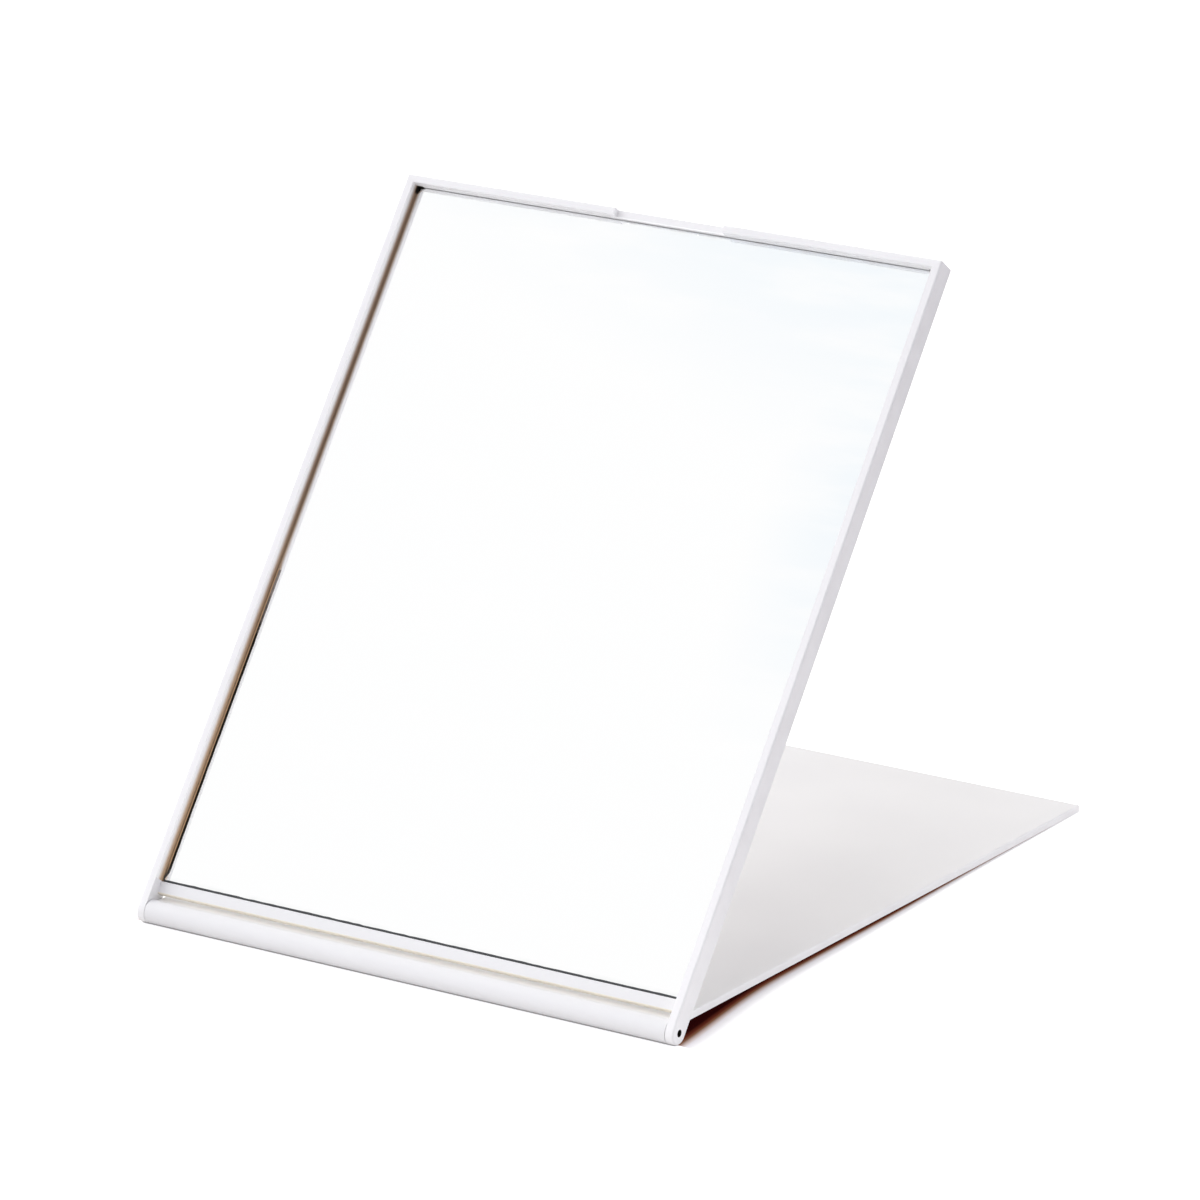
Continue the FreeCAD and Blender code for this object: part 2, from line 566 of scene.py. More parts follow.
@dataclass(frozen=True)
class SatinPlastic(Finish):
    """White moulded plastic with a fine eroded skin and rubbed edges, and a painted grey shade on the rail and the
    barrel.

    Attributes:
        outline: The leaf's outline.
        recess: The frame's recess. The lid has none.
        colour: Plain plastic.
        tone: Its darker patches.
        worn: Its rubbed edges.
        wear_reach: How far the rubbing reaches from an edge.
        shade: The painted brown shade on the recess's side walls.
        shade_low: The same shade low down.
        shade_rise: How far up the leaf the shade changes.
        dark: The painted shade in the upper corners and the pin bores.
        painted_light: Whiter plastic painted as light on the recess's walls and the lid's root.
        painted_warm_shade: The warm shade painted on the rail's underside.
        painted_grey_shade: The grey shade painted on the rail and the barrel.
        grey_shade_end: How far up the lid the barrel's painted grey shade ends.
        root: How far up the lid the painted light on its root is strongest, and where it ends.
        root_share: How much of the painted light shows on the root.
        roughness: The roughness of plain plastic.
        patch_roughness: How much rougher the patches are.
        polish: How much smoother the rubbed edges are.
        gloss: How much the plastic shines.
        grain: The size of the skin's grain.
        wave: The size of its slow waves.
        relief: Its bump.
    """

    outline: Outline
    recess: Union[Recess, None] = None
    colour: Colour = (0.874, 0.867, 0.874)
    tone: Colour = (0.854, 0.847, 0.856)
    worn: Colour = (0.888, 0.884, 0.892)
    wear_reach: float = 1.2
    shade: Colour = (0.3, 0.2, 0.135)
    shade_low: Colour = (0.62, 0.43, 0.27)
    shade_rise: Span = (50.0, 125.0)
    dark: Colour = (0.012, 0.009, 0.005)
    painted_light: Colour = (0.985, 0.985, 0.985)
    painted_warm_shade: Colour = (0.86, 0.8, 0.68)
    painted_grey_shade: Colour = (0.8, 0.796, 0.806)
    grey_shade_end: Span = (3.4, 2.2)
    root: Span = (3.6, 14.4)
    root_share: float = 0.6
    roughness: float = 0.55
    patch_roughness: float = 0.06
    polish: float = 0.12
    gloss: float = 0.2
    grain: float = 0.22
    wave: float = 38.0
    relief: Relief = Relief(0.012, 0.35)

    def make(self) -> Material:
        """Makes the material.

        Returns:
            The plastic's material.
        """
        material, sheet, shader = new_material(self.name)
        place = self.lie.mapping(sheet)
        skin = MOULDED_SKIN.place(sheet, Place=place, Grain=1.0 / self.grain, Wave=1.0 / self.wave)
        wear = RUBBED_EDGE.place(sheet, Place=place, Reach=self.wear_reach, **self.outline.sizes())["Wear"]
        patches = sheet.rise(skin["Tone"], *PATCHES)
        colour = sheet.blend(wear, sheet.blend(patches, self.colour, self.tone), self.worn)
        rough = sheet.math("MULTIPLY_ADD", patches, self.patch_roughness, self.roughness)
        sheet.feed(
            shader, Base_Color=self.paint(sheet, place, colour),
            Roughness=sheet.minus(rough, sheet.times(wear, self.polish)), Specular_IOR_Level=self.gloss,
            Normal=self.relief.normal(sheet, skin["Height"]),
        )
        return material

    def paint(self, sheet: NodeSheet, place: Input, colour: Input) -> Socket:
        """Adds painted shade and light to the plastic: around the frame's recess, or on the lid a grey shade on the
        barrel and light on its root.

        Args:
            sheet: The material's nodes.
            place: Coordinates in millimetres.
            colour: The plastic's colour.

        Returns:
            The colour with the painted shade and light.
        """
        _, along, _ = sheet.split(place)
        if not self.recess:
            # A painted grey shade on the barrel, and painted light on the lid's root behind it.
            colour = sheet.blend(sheet.rise(along, *self.grey_shade_end), colour, self.painted_grey_shade)
            root, end = self.root
            root = sheet.times(sheet.rise(along, 0.0, root), sheet.rise(along, end, root))
            return sheet.blend(sheet.times(root, self.root_share), colour, self.painted_light)
        # Painted light on the recess's walls, painted brown shade on its side walls, painted shade in its upper corners
        # and the bores, painted grey shade on the rail and painted warm shade under it.
        marks = RECESS_SHADE.place(sheet, Place=place, **self.recess.sizes())
        shade = sheet.blend(sheet.rise(along, *self.shade_rise), self.shade_low, self.shade)
        paints = {"Inside": self.painted_light, "Shade": shade, "Dark": self.dark, "Sill": self.painted_grey_shade, "Rail": self.painted_warm_shade}
        for mark, paint in paints.items():
            colour = sheet.blend(marks[mark], colour, paint)
        return colour


@dataclass(frozen=True)
class SilveredGlass(Finish):
    """The silvered face of the pane, with a faint film, a bluish painted reflection towards its upper right, and a
    slightly tarnished border.

    Attributes:
        outline: The pane's outline.
        colour: Clean silver.
        haze_and_reflection: The film on it, and the painted reflection towards its upper right.
        tarnish: The border.
        border: How far the tarnish reaches from an edge.
        wipe: How fine its streaks are in each direction.
        streaks: The streaks' values between which it comes up.
        film_least: How much film there is everywhere.
        reflection_slant: How much sooner the painted reflection begins towards the right.
        reflection_up: Where up the leaf the painted reflection comes up.
        reflection_side: Where it comes up to the right.
        reflection_rise: Where up the leaf it comes up there.
        dull: The streaks' values between which the silver gets dull.
        dullness: The roughness where it is dull.
    """

    outline: Outline
    colour: Colour = (0.998, 0.998, 0.998)
    haze_and_reflection: Colour = (0.9, 0.945, 0.98)
    tarnish: Colour = (0.9, 0.91, 0.91)
    border: float = 1.6
    wipe: Point = (0.02, 0.09, 0.05)
    streaks: Span = (0.15, 0.6)
    film_least: float = 0.05
    reflection_slant: float = 0.35
    reflection_up: Span = (150.0, 235.0)
    reflection_side: Span = (45.0, 80.0)
    reflection_rise: Span = (40.0, 150.0)
    dull: Span = (0.45, 0.9)
    dullness: float = 0.05

    def make(self) -> Material:
        """Makes the material.

        Returns:
            The mirror's material.
        """
        material, sheet, shader = new_material(self.name)
        place = self.lie.mapping(sheet)
        wiped = STREAKS.place(sheet, Place=place, Stretch=self.wipe)["Streaks"]
        border = RUBBED_EDGE.place(sheet, Place=place, Reach=self.border, **self.outline.sizes())["Wear"]
        across, along, _ = sheet.split(place)
        # A bluish painted reflection towards the upper right, over a faint film everywhere, both broken by the wiped
        # streaks.
        upper = sheet.rise(sheet.math("MULTIPLY_ADD", across, self.reflection_slant, along), *self.reflection_up)
        side = sheet.times(sheet.rise(across, *self.reflection_side), sheet.rise(along, *self.reflection_rise))
        film = sheet.math("MAXIMUM", sheet.math("MAXIMUM", upper, side), self.film_least)
        silver = sheet.blend(sheet.times(film, sheet.rise(wiped, *self.streaks)), self.colour, self.haze_and_reflection)
        rough = sheet.times(sheet.rise(wiped, *self.dull), self.dullness)
        sheet.feed(shader, Base_Color=sheet.blend(border, silver, self.tarnish), Metallic=1.0, Roughness=rough)
        return material


@dataclass(frozen=True)
class GroundSeam(Finish):
    """The ground edge of the pane, black where the backing shows through it and paler higher up, with a painted brown
    shade along its outermost side line.

    Attributes:
        foot: The seam along the pane's foot.
        black: The bare seam low on the sides.
        grey: The seam higher up.
        rim_shade: The outermost line of the side seams.
        rim_start: How far out that line begins.
        foot_end: How far up the leaf the foot's seam ends.
        black_end: How far up the leaf the black ends.
        chip_size: The size of the chips in the seam.
        chip_reach: How far the chips shift the end of the black.
        roughness: The least roughness, and how much rougher the chips are.
        gloss: How much the seam shines.
        grit_size: The size of the ground marks.
        relief: Their bump.
    """

    foot: Colour = (0.06, 0.063, 0.066)
    black: Colour = (0.01, 0.008, 0.005)
    grey: Colour = (0.3, 0.27, 0.25)
    # rim_shade: The outermost line of the side seams, painted brown as shade next to the walls.
    rim_shade: Colour = (0.66, 0.44, 0.27)
    rim_start: Span = (77.06, 77.16)
    foot_end: Span = (9.0, 14.0)
    black_end: Span = (76.0, 92.0)
    chip_size: float = 9.0
    chip_reach: float = 50.0
    roughness: Span = (0.3, 0.3)
    gloss: float = 0.12
    grit_size: float = 0.4
    relief: Relief = Relief(0.02, 0.5)

    def make(self) -> Material:
        """Makes the material.

        Returns:
            The seam's material.
        """
        material, sheet, shader = new_material(self.name)
        place = self.lie.mapping(sheet)
        across, along, _ = sheet.split(place)
        chips = sheet.noise(place, self.chip_size, detail=5.0, Roughness=0.65)
        level = sheet.math("MULTIPLY_ADD", sheet.minus(chips, 0.5), self.chip_reach, along)
        side = sheet.ramp(level, dict(zip(self.black_end, (self.black, self.grey))))
        # The seam's outermost line gets a painted brown shade, next to the side walls.
        outer = sheet.rise(sheet.math("ABSOLUTE", across), *self.rim_start)
        side = sheet.blend(outer, side, self.rim_shade)
        least, more = self.roughness
        sheet.feed(
            shader, Base_Color=sheet.blend(sheet.rise(along, *self.foot_end), self.foot, side),
            Roughness=sheet.math("MULTIPLY_ADD", chips, more, least), Specular_IOR_Level=self.gloss,
            Normal=self.relief.normal(sheet, sheet.noise(place, self.grit_size, detail=3.0)),
        )
        return material


@dataclass(frozen=True)
class Streaked(Finish):
    """A finish with fine streaks: the grey paint on the pane's back and edges, and the drawn wire of the pins.

    Attributes:
        colour: The colour between the streaks.
        streak: The colour of the streaks.
        stretch: How fine the streaks are in each direction.
        soft: Whether they come up in a soft step.
        metallic: 1 for metal, 0 for paint.
        roughness: The least roughness, and how much rougher the streaks are.
        relief: Their bump.
    """

    colour: Colour
    streak: Colour
    stretch: Point
    soft: bool
    metallic: float
    roughness: Span
    relief: Relief

    def make(self) -> Material:
        """Makes the material.

        Returns:
            The streaked material.
        """
        material, sheet, shader = new_material(self.name)
        lines = STREAKS.place(sheet, Place=self.lie.mapping(sheet), Stretch=self.stretch)["Streaks"]
        share = sheet.rise(lines, *PATCHES) if self.soft else lines
        least, more = self.roughness
        sheet.feed(
            shader, Base_Color=sheet.blend(share, self.colour, self.streak), Metallic=self.metallic,
            Roughness=sheet.math("MULTIPLY_ADD", lines, more, least), Normal=self.relief.normal(sheet, lines),
        )
        return material


@dataclass(frozen=True)
class PlainFilm(Finish):
    """A dull polymer with a mottled body: the adhesive strips and the natural sleeves.

    Attributes:
        colour: The body's colour.
        mottle: The colour of its mottles.
        roughness: The least roughness.
        grain: The size of its grain.
        wave: The size of its slow waves.
        mottle_roughness: How much rougher the mottles are.
        relief: Its bump.
    """

    colour: Colour
    mottle: Colour
    roughness: float
    grain: float
    wave: float = 7.0
    mottle_roughness: float = 0.15
    relief: Relief = Relief(0.01, 0.4)

    def make(self) -> Material:
        """Makes the material.

        Returns:
            The polymer's material.
        """
        material, sheet, shader = new_material(self.name)
        place = self.lie.mapping(sheet)
        skin = MOULDED_SKIN.place(sheet, Place=place, Grain=1.0 / self.grain, Wave=1.0 / self.wave)
        sheet.feed(
            shader, Base_Color=sheet.blend(sheet.rise(skin["Tone"], *PATCHES), self.colour, self.mottle),
            Roughness=sheet.math("MULTIPLY_ADD", skin["Tone"], self.mottle_roughness, self.roughness),
            Normal=self.relief.normal(sheet, skin["Height"]),
        )
        return material


def dress(node: str, slot: Slot, material: Material) -> None:
    """Gives a CAD node its material.

    Args:
        node: The node's name.
        slot: The node's slot in the record.
        material: The material it wears.
    """
    mesh = frame["nodes"][node].data
    mesh.materials.clear()
    mesh.materials.append(material)
    log.info("%s, of slot %s, wears %s", node, slot.value, material.name)


def select(piece: Piece, part: Part, fits: Callable[..., bool]) -> None:
    """Selects some parts of a piece in edit mode, and nothing else.

    Args:
        piece: The piece's object.
        part: The kind of parts to select.
        fits: Tells whether one of them is selected.
    """
    bpy.ops.mesh.select_mode(type=part.name)
    bpy.ops.mesh.select_all(action="DESELECT")
    mesh = bmesh.from_edit_mesh(piece.data)
    for item in getattr(mesh, part.value):
        item.select_set(fits(item))
    bmesh.update_edit_mesh(piece.data)


def paint_selected(piece: Piece, face: Face) -> None:
    """Gives the selected faces of a piece one of its materials."""
    piece.active_material_index = face.value
    bpy.ops.object.material_slot_assign()


@dataclass
class MirrorLeaf:
    """The framed mirror: its moulded frame and back, its glass, strips and pins.

    Lengths are in millimetres.

    Attributes:
        lie: How the leaf stands.
        outline: The frame's outline.
        recess: The recess in the frame and its pin bores.
        pane: The glass's outline.
        pane_front: The glass's front face, out from the hinge axis.
        pane_thickness: The glass's thickness.
        top_clip: How far the glass's upper corners are clipped.
        foot_clip: How far its lower corners are clipped.
        seam: The width of the ground seam.
        seam_end: How far up the leaf the sides' seam is left bare of silver.
        seam_spread: How much wider the bare seam is at the sides.
        seam_drop: How far the seam falls to the edge.
        seam_waver: How unevenly the seam was ground.
        waver_seed: The seed of that unevenness.
        seam_cuts: How many times each long edge is cut for it.
    """

    lie: Lie
    outline: Outline
    recess: Recess
    pane: Outline
    pane_front: float
    pane_thickness: float
    top_clip: float = 1.7
    foot_clip: float = 0.5
    seam: float = 0.42
    seam_end: float = 95.0
    seam_spread: float = 0.74
    seam_drop: float = 0.05
    seam_waver: float = 0.1
    waver_seed: int = 7
    seam_cuts: int = 130

    def build(self) -> None:
        """Makes the glass pane and dresses the CAD nodes of the leaf."""
        log.info("dressing the %s", Body.MIRROR.value)
        self.build_pane()
        plastic = SatinPlastic("White plastic of the frame", self.lie, self.outline, self.recess).make()
        for node in ("mirror_frame", "back_panel"):
            dress(node, Slot.WHITE_PLASTIC, plastic)
        steel = Streaked(
            "Drawn steel", self.lie, colour=(0.3, 0.29, 0.28), streak=(0.14, 0.13, 0.12), stretch=(0.3, 14.0, 14.0),
            soft=True, metallic=1.0, roughness=(0.28, 0.25), relief=Relief(0.01, 0.3),
        ).make()
        for side in ("left", "right"):
            dress(f"hinge_pin_{side}", Slot.STEEL, steel)
        tape = PlainFilm(
            "Adhesive tape", self.lie, colour=(0.75, 0.73, 0.66), mottle=(0.62, 0.6, 0.53), roughness=0.6, grain=0.5,
        ).make()
        for side in ("left", "middle", "right"):
            dress(f"adhesive_strip_{side}", Slot.ADHESIVE, tape)

    def build_pane(self) -> Piece:
        """Models the glass pane flat, then stands it in the frame.

        Returns:
            The pane's object.
        """
        bpy.ops.object.select_all(action="DESELECT")
        bpy.ops.mesh.primitive_plane_add(size=1.0)
        pane = bpy.context.object
        pane.name = pane.data.name = "mirror_pane"
        backing = Streaked(
            "Backing paint", self.lie, colour=(0.1, 0.105, 0.1), streak=(0.18, 0.19, 0.18), stretch=(0.6, 0.05, 0.6),
            soft=False, metallic=0.0, roughness=(0.4, 0.2), relief=Relief(0.02, 0.4),
        )
        silver = SilveredGlass("Silvered glass", self.lie, self.pane)
        for finish in (silver, GroundSeam("Ground glass seam", self.lie), backing):
            pane.data.materials.append(finish.make())
        bpy.ops.object.mode_set(mode="EDIT")
        self.cut_outline()
        self.grind_seam(pane)
        self.thicken(pane)
        self.stand_up()
        bpy.ops.object.mode_set(mode="OBJECT")
        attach(pane, Body.MIRROR.value)
        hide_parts("mirror_glass")
        log.info("%s has %d faces", pane.name, len(pane.data.polygons))
        return pane

    def cut_outline(self) -> None:
        """Sizes the flat pane and clips its four corners."""
        half, foot, top = (size * MM for size in (self.pane.half_width, self.pane.foot, self.pane.top))
        bpy.ops.mesh.select_all(action="SELECT")
        bpy.ops.transform.resize(value=(2.0 * half, top - foot, 1.0), center_override=(0.0, 0.0, 0.0))
        bpy.ops.transform.translate(value=(0.0, (top + foot) / 2.0, self.pane_front * MM))
        for side in (1.0, -1.0):
            for end, way, clip in ((foot, -1.0, self.foot_clip), (top, 1.0, self.top_clip)):
                bpy.ops.mesh.select_all(action="SELECT")
                bpy.ops.mesh.bisect(
                    plane_co=(side * (half - clip * MM), end, 0.0), plane_no=(side, way, 0.0), clear_outer=True,
                )

    def grind_seam(self, pane: Piece) -> None:
        """Insets the uneven ground seam along the pane's edge.

        Args:
            pane: The pane's object, in edit mode.
        """
        select(pane, Part.EDGE, lambda edge: edge.calc_length() > 2.0 * self.top_clip * MM)
        bpy.ops.mesh.subdivide(number_cuts=self.seam_cuts)
        bpy.ops.mesh.select_mode(type="FACE")
        bpy.ops.mesh.select_all(action="SELECT")
        paint_selected(pane, Face.SEAM)
        bpy.ops.mesh.inset(thickness=self.seam * MM, use_boundary=True)
        paint_selected(pane, Face.SILVER)
        bpy.ops.mesh.select_mode(type="VERT")
        bpy.ops.transform.vertex_random(offset=self.seam_waver * MM, seed=self.waver_seed)
        bpy.ops.transform.resize(value=(1.0, 1.0, 0.0), center_override=(0.0, 0.0, self.pane_front * MM))
        for side in (1.0, -1.0):
            self.widen_seam(pane, side)
        select(pane, Part.FACE, lambda face: face.calc_center_median().y > self.seam_end * MM)
        paint_selected(pane, Face.SILVER)

    def widen_seam(self, pane: Piece, side: float) -> None:
        """Widens the bare part of the seam at one side.

        Args:
            pane: The pane's object, in edit mode.
            side: 1 for the right side, -1 for the left.
        """
        edge, middle = self.pane.half_width * MM, (self.pane.half_width - 2.0 * self.seam) * MM
        foot = self.pane.foot + 2.0 * self.seam
        select(pane, Part.VERT, lambda vert: middle < side * vert.co.x < edge - self.seam_waver * MM
               and foot < vert.co.y / MM < self.seam_end)
        bpy.ops.transform.translate(value=(-side * self.seam_spread * MM, 0.0, 0.0))

    def thicken(self, pane: Piece) -> None:
        """Gives the pane its thickness, its painted back and the fall of its seam.

        Args:
            pane: The pane's object, in edit mode.
        """
        quarter_in = (self.pane_front - self.pane_thickness / 4.0) * MM
        bpy.ops.mesh.select_mode(type="FACE")
        bpy.ops.mesh.select_all(action="SELECT")
        bpy.ops.mesh.extrude_region_move(TRANSFORM_OT_translate={"value": (0.0, 0.0, -self.pane_thickness * MM)})
        select(pane, Part.FACE, lambda face: face.calc_center_median().z < quarter_in)
        paint_selected(pane, Face.BACKING)
        select(pane, Part.VERT, lambda vert: vert.co.z > quarter_in
               and any(face.material_index == Face.BACKING.value for face in vert.link_faces))
        bpy.ops.transform.translate(value=(0.0, 0.0, -self.seam_drop * MM))
        bpy.ops.mesh.select_all(action="SELECT")
        bpy.ops.mesh.normals_make_consistent(inside=False)

    def stand_up(self) -> None:
        """Turns the flat pane up about the hinge and moves it to its place."""
        bpy.ops.mesh.select_all(action="SELECT")
        bpy.ops.transform.rotate(value=-self.lie.turn, orient_axis="X", center_override=(0.0, 0.0, 0.0))
        bpy.ops.transform.translate(value=self.lie.hinge)


@dataclass
class StandLid:
    """The lid that serves as the stand, with the sleeves in its barrel.

    Attributes:
        lie: How the lid lies.
        outline: The lid's outline, in millimetres.
    """

    lie: Lie
    outline: Outline

    def build(self) -> None:
        """Dresses the CAD nodes of the lid."""
        log.info("dressing the %s", Body.STAND.value)
        plastic = SatinPlastic("White plastic of the lid", self.lie, self.outline).make()
        dress("cover_panel", Slot.WHITE_PLASTIC, plastic)
        sleeve = PlainFilm(
            "Natural plastic", self.lie, colour=(0.74, 0.72, 0.64), mottle=(0.68, 0.66, 0.57), roughness=0.42,
            grain=0.3,
        ).make()
        for side in ("left", "right"):
            dress(f"friction_sleeve_{side}", Slot.SLEEVE_PLASTIC, sleeve)


@dataclass(frozen=True)
class Softbox:
    """A far, wide lamp.

    Attributes:
        name: The lamp's name.
        towards: The direction from the object to the lamp.
        level: How bright it makes a white surface that faces it.
        tint: Its colour.
        spread_deg: Its width as seen from the object, in degrees.
    """

    name: str
    towards: Point
    level: float
    tint: Colour
    spread_deg: float

    def build(self) -> None:
        """Hangs the lamp."""
        lamp = bpy.data.lights.new(self.name, "SUN")
        lamp.energy = self.level * math.pi
        lamp.color = self.tint
        lamp.angle = math.radians(self.spread_deg)
        holder = bpy.data.objects.new(self.name, lamp)
        holder.rotation_euler = Vector(self.towards).to_track_quat("Z", "Y").to_euler()
        bpy.context.scene.collection.objects.link(holder)
        log.info("%s at %.2f", self.name, self.level)


LAMPS = (
    Softbox("front_softbox", (-0.1, -0.7, 0.7), 0.222, (1.0, 1.0, 1.04), 44.0),
    Softbox("front_left_softbox", (-0.6, -0.75, 0.2), 0.295, (0.97, 1.0, 1.08), 50.0),
    Softbox("left_softbox", (-0.79, -0.02, 0.61), 0.51, (1.01, 1.0, 0.98), 55.0),
    Softbox("back_left_softbox", (-0.6, 0.6, 0.53), 0.08, (1.12, 1.0, 0.72), 60.0),
    Softbox("back_right_softbox", (0.6, 0.75, 0.2), 0.42, (1.0, 1.0, 1.0), 60.0),
    Softbox("right_softbox", (0.9, 0.1, 0.42), 0.18, (1.0, 1.0, 1.13), 50.0),
)


class Rays:
    """Tells what is seen, straight or in a reflection, from what only lights the object."""

    def __init__(self, sheet: NodeSheet) -> None:
        """Adds the nodes that tell the rays apart.

        Args:
            sheet: The nodes to add to.
        """
        path = sheet.add("ShaderNodeLightPath").outputs
        self.sheet = sheet
        self.camera = path["Is Camera Ray"]
        self.sharp = sheet.math("MAXIMUM", path["Is Glossy Ray"], path["Is Transmission Ray"])
        self.scattered = sheet.math("GREATER_THAN", path["Diffuse Depth"], 0.5)

    def seen(self) -> Socket:
        """Gives 1 where the ray carries what is seen, otherwise 0."""
        direct = self.sheet.math("MAXIMUM", self.camera, self.sharp)
        return self.sheet.times(direct, self.sheet.minus(1.0, self.scattered))

    def thrown(self) -> Socket:
        """Gives 1 where the mirror throws light on the object, otherwise 0."""
        return self.sheet.times(self.sharp, self.scattered)


@dataclass(frozen=True)
class ContactShade:
    """The shade on the floor along the lid and under the barrel.

    Lengths are in metres.

    Attributes:
        stops: The floor's colours by how far out of the lid's edge they are, in heights of the lid there.
        side: Half of the lid's width.
        end: Where the lid's end rests on the floor.
        front: How far forward the lid's shade ends.
        slope: How steeply the lid rises towards the hinge.
        least: The least height of the lid that counts.
        ear: Where the shade widens towards the ears.
        ear_width: How much wider it gets there.
        far: Where the shade narrows towards the lid's end.
        line: The dark line under the barrel.
        line_fade: How far forward that line fades in.
        line_end: How far out of the lid's edge it fades in.
    """

    stops: tuple[tuple[float, Colour], ...] = (
        (-1.5, (0.02, 0.002, 0.002)), (-1.1, (0.1, 0.02, 0.01)), (-0.8, (0.18, 0.086, 0.05)),
        (-0.46, (0.46, 0.38, 0.36)), (-0.15, (0.63, 0.61, 0.63)), (0.25, (0.72, 0.71, 0.72)), (1.2, (0.97, 0.97, 0.97)),
    )
    side: float = 0.07755
    end: float = 0.1026
    front: float = 0.1
    slope: float = 0.01632
    least: float = 0.0003
    ear: Span = (-0.045, -0.108)
    ear_width: float = 1.6
    far: Span = (0.0, 0.09)
    line: Colour = (0.3, 0.295, 0.3)
    line_fade: Span = (0.1016, 0.1004)
    line_end: Span = (0.003, 0.0015)

    def colour(self, sheet: NodeSheet, across: Input, along: Input) -> Socket:
        """Draws the shade.

        Args:
            sheet: The floor's nodes.
            across: The place along the hinge.
            along: The place towards the lid's end.

        Returns:
            The floor's colour.
        """
        rise = sheet.times(sheet.minus(self.end, along), self.slope)
        outside = sheet.minus(sheet.math("ABSOLUTE", across), self.side)
        share = sheet.math("DIVIDE", outside, sheet.math("MAXIMUM", rise, self.least))
        share = sheet.math("MULTIPLY_ADD", sheet.rise(along, *self.ear), -self.ear_width, share)
        share = sheet.math("ADD", sheet.rise(along, *self.far), share)
        forward = sheet.times(along, -1.0)
        past_end = sheet.minus(along, self.end)
        past_front = sheet.minus(forward, self.front)
        ends = sheet.math("DIVIDE", sheet.math("MAXIMUM", past_end, past_front), self.least)
        shade = sheet.ramp(sheet.math("MAXIMUM", share, ends), dict(self.stops))
        line = sheet.times(
            sheet.rise(forward, *self.line_fade), sheet.rise(outside, *self.line_end),
            sheet.math("GREATER_THAN", forward, self.front),
        )
        return sheet.blend(line, shade, self.line)


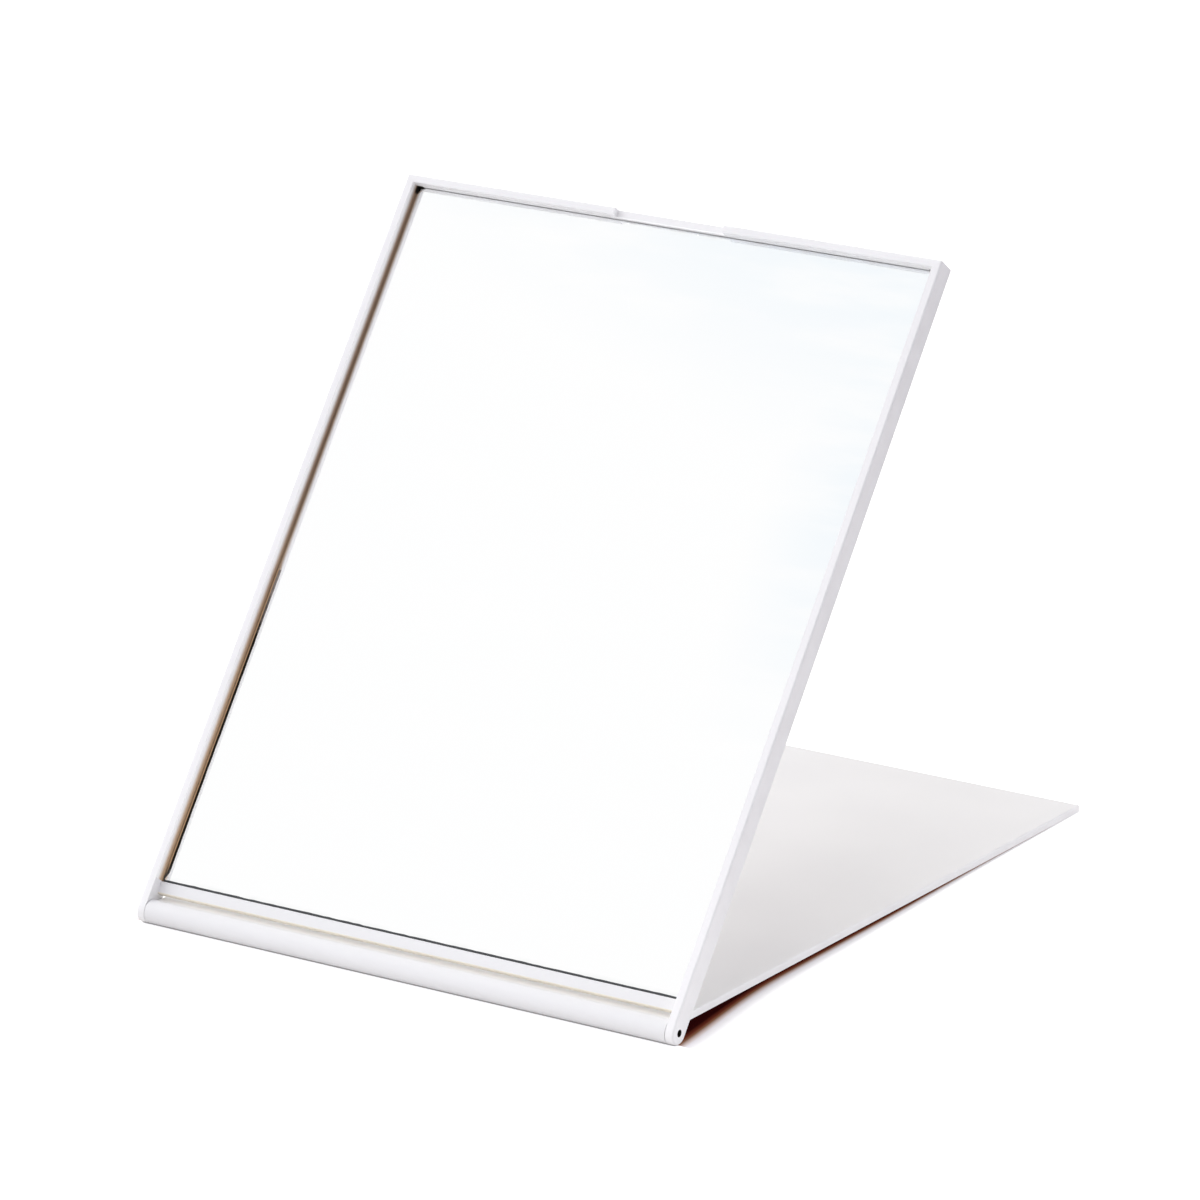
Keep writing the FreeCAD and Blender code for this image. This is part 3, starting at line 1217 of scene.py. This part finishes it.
@dataclass
class Studio:
    """The white floor, the soft lamps, the room light and the camera.

    Lengths are in metres.

    Attributes:
        room: The light that fills the room.
        mirrored: The light that the mirror throws on the object.
        floor_bounce: The floor as it lights the object from near by.
        floor_far: The same further out to the sides.
        sweep_end: How far out the floor's light falls off.
        sweep_shift: How much nearer it falls off on the left.
        floor_glow: How much of its colour the floor gives off.
        floor_size: The length of the floor's sides.
        azimuth_deg: How far the camera stands to the right.
        elevation_deg: How far it looks down.
        roll_deg: How far it is rolled.
        distance: How far it is from its target.
        target: What it looks at.
        lens_mm: Its focal length.
        sensor_mm: Its sensor's width.
    """

    room: Colour = (0.348, 0.348, 0.356)
    mirrored: Colour = WHITE
    floor_bounce: Colour = (0.82, 0.8, 0.78)
    floor_far: Colour = (0.16, 0.13, 0.15)
    sweep_end: Span = (0.12, 0.3)
    sweep_shift: float = 0.075
    floor_glow: float = 0.5
    floor_size: float = 12.0
    azimuth_deg: float = 32.769
    elevation_deg: float = 17.564
    roll_deg: float = 0.122
    distance: float = 1.75358
    target: Point = (0.031225, -0.059604, 0.093557)
    lens_mm: float = 214.545
    sensor_mm: float = 36.0

    def build(self) -> None:
        """Sets up the whole studio."""
        self.build_floor()
        for lamp in LAMPS:
            lamp.build()
        self.build_room()
        self.build_camera()
        bpy.context.scene.view_settings.view_transform = "Standard"

    def build_floor(self) -> None:
        """Lays the white floor, which lights the object less than it shows, and least from the sides."""
        bpy.ops.object.select_all(action="DESELECT")
        bpy.ops.mesh.primitive_plane_add(size=self.floor_size)
        floor = bpy.context.object
        floor.name = floor.data.name = "studio_floor"
        material, sheet, shader = new_material("Studio floor")
        across, along, _ = sheet.split(sheet.add("ShaderNodeTexCoord").outputs["Object"])
        sweep = sheet.math("MAXIMUM", across, sheet.minus(self.sweep_shift, across))
        bounce = sheet.blend(sheet.rise(sweep, *self.sweep_end), self.floor_bounce, self.floor_far)
        seen = Rays(sheet).seen()
        shade = ContactShade().colour(sheet, across, along)
        glow = sheet.blend(sheet.times(seen, self.floor_glow), BLACK, shade)
        sheet.feed(shader, Base_Color=sheet.blend(seen, bounce, shade), Roughness=0.9, Specular_IOR_Level=0.0)
        sheet.feed(shader, Emission_Color=glow, Emission_Strength=1.0)
        floor.data.materials.append(material)

    def build_room(self) -> None:
        """Fills the room with an even light behind a white backdrop."""
        world = bpy.data.worlds.new("Studio room")
        world.use_nodes = True
        sheet = NodeSheet(world.node_tree)
        background = sheet.add("ShaderNodeBackground")
        rays = Rays(sheet)
        light = sheet.blend(rays.thrown(), self.room, self.mirrored)
        sheet.feed(background, Color=sheet.blend(rays.seen(), light, WHITE))
        sheet.join(background.outputs["Background"], sheet.add("ShaderNodeOutputWorld").inputs["Surface"])
        bpy.context.scene.world = world

    def build_camera(self) -> None:
        """Puts the camera where the photograph was taken from."""
        azimuth, elevation, roll = map(math.radians, (self.azimuth_deg, self.elevation_deg, self.roll_deg))
        back = Vector((
            math.sin(azimuth) * math.cos(elevation), -math.cos(azimuth) * math.cos(elevation), math.sin(elevation),
        ))
        level = (-back).cross(Vector((0.0, 0.0, 1.0))).normalized()
        upright = level.cross(-back)
        right = math.cos(roll) * level + math.sin(roll) * upright
        up = math.cos(roll) * upright - math.sin(roll) * level
        data = bpy.data.cameras.new("photo_camera")
        data.lens = self.lens_mm
        data.sensor_width = self.sensor_mm
        data.sensor_fit = "HORIZONTAL"
        camera = bpy.data.objects.new("photo_camera", data)
        turn = Matrix((right, up, back)).transposed().to_4x4()
        camera.matrix_world = Matrix.Translation(Vector(self.target) + back * self.distance) @ turn
        bpy.context.scene.collection.objects.link(camera)
        bpy.context.scene.camera = camera


def main() -> None:
    """Builds the mirror leaf, the lid and the studio."""
    logging.basicConfig(level=logging.INFO, format="%(name)s: %(message)s")
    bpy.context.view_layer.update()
    hinge = tuple(frame["joints"][0]["pos_m"])
    leaf = MirrorLeaf(
        lie=Lie(hinge, math.radians(90.0 - LEAN_DEG)),
        outline=Outline(half_width=80.0, foot=-3.0, top=205.1),
        recess=Recess(half_width=77.7, foot=8.2, top=202.95, depth=3.0, bore=0.95, rail=4.9),
        pane=Outline(half_width=77.5, foot=8.3, top=202.8),
        pane_front=-0.1,
        pane_thickness=1.3,
    )
    lid = StandLid(Lie(hinge, math.radians(-LID_SLOPE_DEG)), Outline(half_width=77.4, foot=-3.0, top=202.2))
    leaf.build()
    lid.build()
    Studio().build()


if __name__ == "__main__":
    main()
